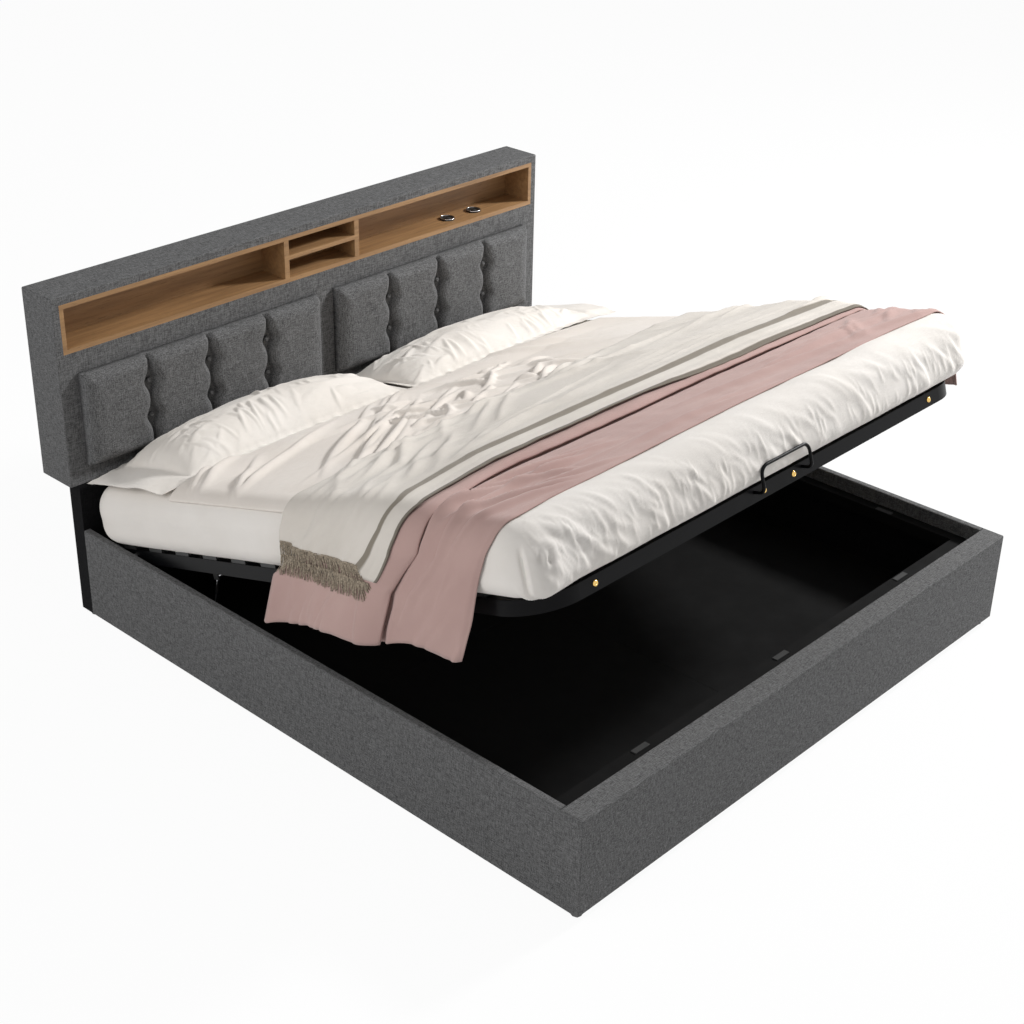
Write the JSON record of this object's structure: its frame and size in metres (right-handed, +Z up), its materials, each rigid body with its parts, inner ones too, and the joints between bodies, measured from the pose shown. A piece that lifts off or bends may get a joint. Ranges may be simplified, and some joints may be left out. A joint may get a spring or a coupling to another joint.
{
  "type": "storage bed",
  "caption": "Upholstered storage bed with a shelf headboard, tufted pads and a slatted platform that lifts on gas struts, made up with bedding.",
  "frame": {"origin": "on the floor, under the middle of the bed's outer box", "axes": "+Z up, +Y from the footboard to the headboard, +X to the sleeper's left when lying on the back"},
  "size_m": [2.142, 2.27, 1.125],
  "materials": {
    "grey_linen": "woven, matt",
    "black_lining": "matt",
    "pine": "planed",
    "particle_board": "raw",
    "light_oak": "satin",
    "black_board": "matt",
    "black_steel": "satin",
    "bright_steel": "satin",
    "brass": "polished",
    "chrome": "polished",
    "black_plastic": "matt",
    "black_rubber": "matt",
    "birch": "satin",
    "ticking": "quilted",
    "white_sheet": "soft",
    "cream_duvet": "soft, creased",
    "pink_cloth": "soft",
    "cream_throw": "soft",
    "grey_brown_fringe": "stringy",
    "cream_pillow": "creased"
  },
  "bodies": {
    "bed_box": {"footboard_core": "particle_board", "footboard_cover": "grey_linen", "side_rail_core_left": "particle_board", "side_rail_core_right": "particle_board", "side_rail_cover_left": "grey_linen", "side_rail_cover_right": "grey_linen", "headboard_base_core": "particle_board", "headboard_base_cover": "black_lining", "headboard_cover": "grey_linen", "headboard_ends": "particle_board", "headboard_long_boards": "particle_board", "headboard_back_board": "particle_board", "headboard_front_board": "particle_board", "headboard_ribs": "pine", "box_lining": "black_lining", "niche_floor": "light_oak", "niche_roof": "light_oak", "niche_ends": "light_oak", "niche_back": "light_oak", "niche_dividers": "light_oak", "niche_shelf": "light_oak", "tufted_pad_left": "grey_linen", "tufted_pad_right": "grey_linen", "pad_buttons": "grey_linen", "charging_sockets": "black_plastic", "socket_rims": "chrome", "platform_ledges": "black_board", "rest_bumpers": "black_rubber", "storage_floor": "black_board", "floor_cleats": "pine", "centre_beam": "black_steel", "feet": "black_plastic", "corner_brackets": "black_steel", "frame_bolts": "bright_steel", "lift_plate_left": "black_steel", "lift_plate_right": "black_steel", "lift_pins": "bright_steel"},
    "platform": {"strut_tabs": "black_steel", "platform_foot_bow": "black_steel", "platform_side_tube_left": "black_steel", "platform_side_tube_right": "black_steel", "platform_head_tube": "black_steel", "platform_stringers": "black_steel", "hinge_bushes": "black_plastic", "slats": "birch", "slat_holders": "black_plastic", "foot_bolts": "brass", "mattress_retainer": "black_steel", "mattress": "ticking", "fitted_sheet": "white_sheet", "duvet": "cream_duvet", "pink_blanket": "pink_cloth", "throw": "cream_throw", "throw_fringe": "grey_brown_fringe", "pillows": "cream_pillow"},
    "left_strut_cylinder": {"strut_cylinder_left": "black_steel"},
    "right_strut_cylinder": {"strut_cylinder_right": "black_steel"},
    "left_strut_rod": {"strut_rod_left": "chrome"},
    "right_strut_rod": {"strut_rod_right": "chrome"}
  },
  "joints": [
    {"name": "platform_lift", "type": "hinge", "parent": "bed_box", "child": "platform", "pos_m": [0, 0.765, 0.307], "axis": [-1, 0, 0], "range_deg": [-17.1, 0], "stiffness_Nm_per_rad": 450, "springref_deg": 143.24},
    {"name": "left_strut_cylinder_pivot", "type": "hinge", "parent": "bed_box", "child": "left_strut_cylinder", "pos_m": [-0.975, 0.43226, 0.085], "axis": [-1, 0, 0], "range_deg": [-8.56, 0.01]},
    {"name": "left_strut_rod_pivot", "type": "hinge", "parent": "platform", "child": "left_strut_rod", "pos_m": [-0.975, 0.37386, 0.39071], "axis": [-1, 0, 0], "range_deg": [-0.01, 8.56]},
    {"name": "right_strut_cylinder_pivot", "type": "hinge", "parent": "bed_box", "child": "right_strut_cylinder", "pos_m": [0.975, 0.43226, 0.085], "axis": [-1, 0, 0], "range_deg": [-8.56, 0.01]},
    {"name": "right_strut_rod_pivot", "type": "hinge", "parent": "platform", "child": "right_strut_rod", "pos_m": [0.975, 0.37386, 0.39071], "axis": [-1, 0, 0], "range_deg": [-0.01, 8.56]}
  ],
  "couplings": [
    {"joint": "left_strut_cylinder_pivot", "follows": "platform_lift", "ratio": 0.5},
    {"joint": "left_strut_rod_pivot", "follows": "platform_lift", "ratio": -0.5},
    {"joint": "right_strut_cylinder_pivot", "follows": "platform_lift", "ratio": 0.5},
    {"joint": "right_strut_rod_pivot", "follows": "platform_lift", "ratio": -0.5}
  ]
}
